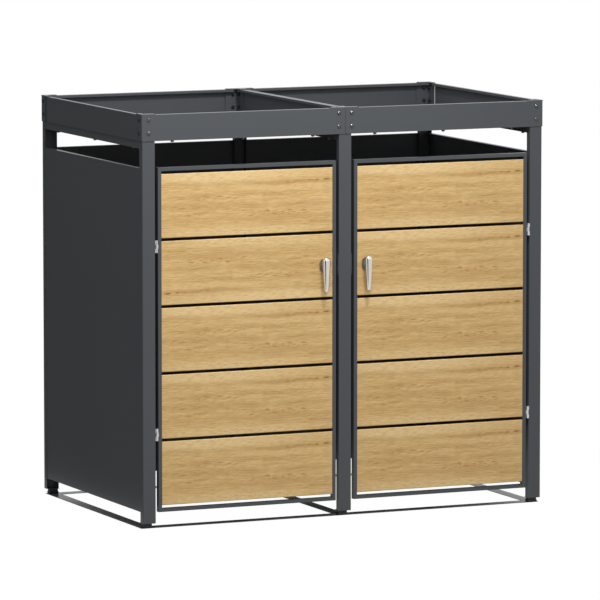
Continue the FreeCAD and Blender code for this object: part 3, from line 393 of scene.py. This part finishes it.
def makeBlackPlastic():
    # Moulded polyamide glides: black, with the fine matt texture of the mould.
    material, tree, shader = newMaterial("mouldedPolyamide")
    place = addNode(tree, "ShaderNodeTexCoord")
    grain = addNode(tree, "ShaderNodeTexNoise", {"Scale": perMetre / blackPlastic["grain"]},
                    {"Vector": place.outputs["Object"]})
    bump = addNode(tree, "ShaderNodeBump",
                   {"Distance": blackPlastic["grainDepth"] / perMetre, "Strength": 0.4},
                   {"Height": grain.outputs["Fac"]})
    tree.links.new(bump.outputs["Normal"], shader.inputs["Normal"])
    shader.inputs["Base Color"].default_value = linearColour(blackPlastic["colour"])
    shader.inputs["Roughness"].default_value = blackPlastic["roughness"]
    return material


leverShape = {
    "spindleHeight": 0.79683,    # m above the ground
    "headRise": 15.0,            # mm above the spindle, the middle of the round head
    "headRadius": 13.0,          # mm, half the head's width
    "footDrop": 76.0,            # mm below the spindle, the middle of the round tip
    "footRadius": 7.0,           # mm, half the tip's width
    "belly": 0.7,                # mm, how much fuller the grip is half way down
    "endWidth": 0.25,            # mm, half the width where head and tip close
    "gripDepth": 12.1,           # mm from front to back
    "fullness": 0.88,            # depth of the front against half the width
    "backRound": 1.2,            # mm, how round the back's edges are
    "backFade": 4.0,             # mm, half the width below which the back flattens
    "neckRadius": 8.0,           # mm
    "neckFlare": [               # mm behind the grip's back, mm wider than the neck
        (-3.0, 1.8), (-1.0, 1.6), (1.0, 0.7), (3.5, 0.0),
    ],
    "neckChamfer": 0.6,          # mm
    "neckGap": 0.05,             # mm to the rosette
    "spindleRadius": 4.0,        # mm
    "boltRadius": 3.0,           # mm, the spindle's end that carries the cam
    "around": 40,                # points round a section
    "along": 26,                 # sections down the grip
    "capSections": 8,            # sections over the head and under the tip
    "sharpAngle": 40.0,          # degrees
}


def skin(mesh, rings):
    # closed skin over rings of points, with a face at each end
    around = len(rings[0])
    faces = [mesh.faces.new(rings[0]), mesh.faces.new(list(reversed(rings[-1])))]
    for one, other in zip(rings, rings[1:]):
        for k in range(around):
            after = (k + 1) % around
            faces.append(mesh.faces.new((one[k], other[k], other[after], one[after])))
    bmesh.ops.recalc_face_normals(mesh, faces=faces)


def lathe(mesh, profile, centre):
    # turns (y, radius) pairs in mm about a line along Y through the centre (x, z) in m
    around = leverShape["around"]
    rings = []
    for y, radius in profile:
        ring = []
        for k in range(around):
            angle = math.tau * k / around
            ring.append(mesh.verts.new((centre[0] + radius * math.cos(angle) / perMetre,
                                        y / perMetre,
                                        centre[1] + radius * math.sin(angle) / perMetre)))
        rings.append(ring)
    skin(mesh, rings)


def gripSections():
    # height above the spindle and half the width in mm, from the head down to the tip
    headRise, headRadius = leverShape["headRise"], leverShape["headRadius"]
    footDrop, footRadius = leverShape["footDrop"], leverShape["footRadius"]
    least = leverShape["endWidth"]
    steps = leverShape["capSections"]
    sections = []
    for k in range(steps + 1):
        angle = math.pi / 2 * (1 - k / steps)
        sections.append((headRise + headRadius * math.sin(angle),
                         max(headRadius * math.cos(angle), least)))
    for k in range(1, leverShape["along"]):
        share = k / leverShape["along"]
        taper = headRadius + (footRadius - headRadius) * share
        sections.append((headRise - (headRise + footDrop) * share,
                         taper + leverShape["belly"] * math.sin(math.pi * share)))
    for k in range(steps + 1):
        angle = math.pi / 2 * k / steps
        sections.append((-footDrop - footRadius * math.sin(angle),
                         max(footRadius * math.cos(angle), least)))
    return sections


def addGrip(mesh, centre, back):
    # full and round in front, nearly flat behind
    around = leverShape["around"]
    backRound = leverShape["backRound"]
    rings = []
    for height, width in gripSections():
        depth = min(leverShape["gripDepth"] - backRound, leverShape["fullness"] * width)
        behind = backRound * min(width / leverShape["backFade"], 1.0)
        ring = []
        for k in range(around):
            angle = math.tau * k / around
            rise = math.sin(angle)
            y = -depth * rise if rise > 0 else behind * math.sqrt(-rise)
            ring.append(mesh.verts.new((centre[0] + width * math.cos(angle) / perMetre,
                                        (back - backRound + y) / perMetre,
                                        centre[1] + height / perMetre)))
        rings.append(ring)
    skin(mesh, rings)


def makeLever(side, material):
    # The lever as cast: a grip that tapers from a round head to a round tip, full in front
    # and flat behind, on a neck that flares into it, with the spindle behind the rosette.
    node = side + "_lever"
    low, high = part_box(node)
    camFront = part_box(side + "_cam")[0][1] * perMetre
    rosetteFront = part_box(side + "_lock")[0][1] * perMetre
    centre = ((low[0] + high[0]) / 2, leverShape["spindleHeight"])
    back = low[1] * perMetre + leverShape["gripDepth"]
    mesh = bmesh.new()
    addGrip(mesh, centre, back)
    neck, spindle, bolt = (leverShape[part + "Radius"] for part in ("neck", "spindle", "bolt"))
    neckEnd = rosetteFront - leverShape["neckGap"]
    chamfer = leverShape["neckChamfer"]
    profile = [(back + y, neck + wider) for y, wider in leverShape["neckFlare"]]
    profile += [(neckEnd - chamfer, neck), (neckEnd, neck - chamfer), (neckEnd, spindle),
                (camFront, spindle), (camFront, bolt), (high[1] * perMetre, bolt)]
    lathe(mesh, profile, centre)
    data = bpy.data.meshes.new(side + "LeverCasting")
    mesh.to_mesh(data)
    mesh.free()
    data.shade_smooth()
    data.set_sharp_from_angle(angle=math.radians(leverShape["sharpAngle"]))
    data.materials.append(material)
    piece = bpy.data.objects.new(side + "LeverCasting", data)
    bpy.context.collection.objects.link(piece)
    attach(piece, side + "_handle")
    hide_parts(node)


def dressNodes():
    # gives every piece the material of what it is made of
    coat = makePowderCoat()
    bright = makeBrightMetal()
    satin = makePlatedMetal("satinZinc")
    zinc = makePlatedMetal("zincPlatedSteel")
    dark = makePlatedMetal("lacqueredBolts")
    plastic = makeBlackPlastic()
    for name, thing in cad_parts.items():
        if "_board_" in name:
            low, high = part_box(name)
            centre = tuple((a + b) / 2 for a, b in zip(low, high))
            turned = name == "left_door_board_2"
            material = makeBoardDecor(name.title().replace("_", ""), centre, turned)
        elif name.endswith("_lever"):
            material = bright
        elif name.endswith(("_lock", "_cam")):
            material = satin
        elif "hinge" in name:
            material = zinc
        elif name in ("tray_bolts", "tray_nuts", "tray_floor_screws"):
            material = dark
        elif name == "feet":
            material = plastic
        else:
            material = coat
        for slot in thing.material_slots:
            slot.material = material
    print("materials set")
    for side in ("left", "right"):
        makeLever(side, bright)
    print("levers made")


studio = {
    "ambient": 0.63,
    "floorColour": "#8A8A8A",
    "floorReach": 30.0,     # m
    "floorShade": 0.05,     # share of the floor's brightness that shadows can take
    "floorGlow": 1.045,     # so that the unshaded floor is plain white in the picture
    "floorGloss": 0.7,      # how much of that white the gloss of the coat shows
    "lamps": [              # name, place, aim, size in m, power in W
        ("keyLamp", (-0.1, -1.5, 3.1), (-0.9, -0.4, 0.75), 0.3, 41.0),
        ("softLamp", (-0.68, -1.7, 2.6), (-0.2, -0.4, 0.7), 1.2, 7.0),
        ("fillLamp", (-1.0, -4.4, 2.1), (-0.5, -0.4, 1.0), 2.0, 18.5),
    ],
    "felts": {"darkFlag": "#202022", "greyFlag": "#58585A"},
    "flags": [              # name, felt, corners in m
        ("leftFlag", "darkFlag",
         [(-1.4, -0.5, 0), (-1.4, 8.0, 0), (-1.4, 8.0, 4.0), (-1.4, -0.5, 4.0)]),
        ("leftFlagFoot", "darkFlag",
         [(-0.8, -0.5, 0.002), (-0.8, 8.0, 0.002), (-1.4, 8.0, 0.002), (-1.4, -0.5, 0.002)]),
        ("frontFlag", "greyFlag",
         [(-2.08, -2.01, 0), (-1.1, -2.95, 0), (-1.1, -2.95, 2.2), (-2.08, -2.01, 2.2)]),
    ],
}


def addLamp(name, place, aim, size, power):
    data = bpy.data.lights.new(name, "AREA")
    data.shape = "DISK"
    data.size = size
    data.energy = power
    holder = bpy.data.objects.new(name, data)
    bpy.context.collection.objects.link(holder)
    holder.location = place
    holder.rotation_euler = (Vector(aim) - Vector(place)).to_track_quat("-Z", "Y").to_euler()


def addStage(name, corners, material):
    mesh = bpy.data.meshes.new(name)
    mesh.from_pydata(corners, [], [(0, 1, 2, 3)])
    mesh.materials.append(material)
    thing = bpy.data.objects.new(name, mesh)
    bpy.context.collection.objects.link(thing)
    return thing


def addSky():
    # plain white for camera, gloss and glass, and a lower even light for everything else
    world = bpy.data.worlds.new("studioWorld")
    bpy.context.scene.world = world
    tree = emptyTree(world)
    path = addNode(tree, "ShaderNodeLightPath")
    shiny = addNode(tree, "ShaderNodeMath", {"operation": "MAXIMUM"},
                    {0: path.outputs["Is Glossy Ray"], 1: path.outputs["Is Transmission Ray"]})
    background = addNode(tree, "ShaderNodeMath", {"operation": "MAXIMUM"},
                         {0: path.outputs["Is Camera Ray"], 1: shiny.outputs[0]})
    strength = addNode(tree, "ShaderNodeMapRange", {"To Min": studio["ambient"], "To Max": 1.0},
                       {"Value": background.outputs[0]})
    sky = addNode(tree, "ShaderNodeBackground", {"Color": white},
                  {"Strength": strength.outputs["Result"]})
    addNode(tree, "ShaderNodeOutputWorld", {}, {"Surface": sky.outputs["Background"]})


def addFloor():
    # pale and matt, but as white as the background to the camera and nearly so to gloss
    pale = bpy.data.materials.new("paleFloor")
    tree = emptyTree(pale)
    matt = addNode(tree, "ShaderNodeBsdfDiffuse", {"Color": linearColour(studio["floorColour"])})
    glow = addNode(tree, "ShaderNodeEmission", {"Color": white, "Strength": studio["floorGlow"]})
    path = addNode(tree, "ShaderNodeLightPath")
    shiny = addNode(tree, "ShaderNodeMath", {"operation": "MULTIPLY", 1: studio["floorGloss"]},
                    {0: path.outputs["Is Glossy Ray"]})
    seen = addNode(tree, "ShaderNodeMath", {"operation": "MULTIPLY", 1: 1.0 - studio["floorShade"]},
                   {0: path.outputs["Is Camera Ray"]})
    share = addNode(tree, "ShaderNodeMath", {"operation": "MAXIMUM"},
                    {0: shiny.outputs[0], 1: seen.outputs[0]})
    mix = addNode(tree, "ShaderNodeMixShader", {},
                  {0: share.outputs[0], 1: matt.outputs["BSDF"], 2: glow.outputs["Emission"]})
    addNode(tree, "ShaderNodeOutputMaterial", {}, {"Surface": mix.outputs["Shader"]})
    reach = studio["floorReach"]
    addStage("studioFloor", [(-reach, -reach, 0), (reach, -reach, 0), (reach, reach, 0),
                             (-reach, reach, 0)], pale)


def addFlags():
    # felt cards that only gloss shows
    felts = {}
    for name, colour in studio["felts"].items():
        felts[name] = bpy.data.materials.new(name)
        tree = emptyTree(felts[name])
        matt = addNode(tree, "ShaderNodeBsdfDiffuse", {"Color": linearColour(colour)})
        addNode(tree, "ShaderNodeOutputMaterial", {}, {"Surface": matt.outputs["BSDF"]})
    for name, felt, corners in studio["flags"]:
        flag = addStage(name, corners, felts[felt])
        flag.visible_camera = False
        flag.visible_shadow = False
        flag.visible_diffuse = False


def addStudio():
    # A white studio: pale floor, low even light, a small lamp above the front, two wider
    # ones before it, and felt cards on the left.
    bpy.context.scene.view_settings.view_transform = "Standard"
    addSky()
    addFloor()
    addFlags()
    for lamp in studio["lamps"]:
        addLamp(*lamp)
    print("studio set")


addCamera()
dressNodes()
addStudio()
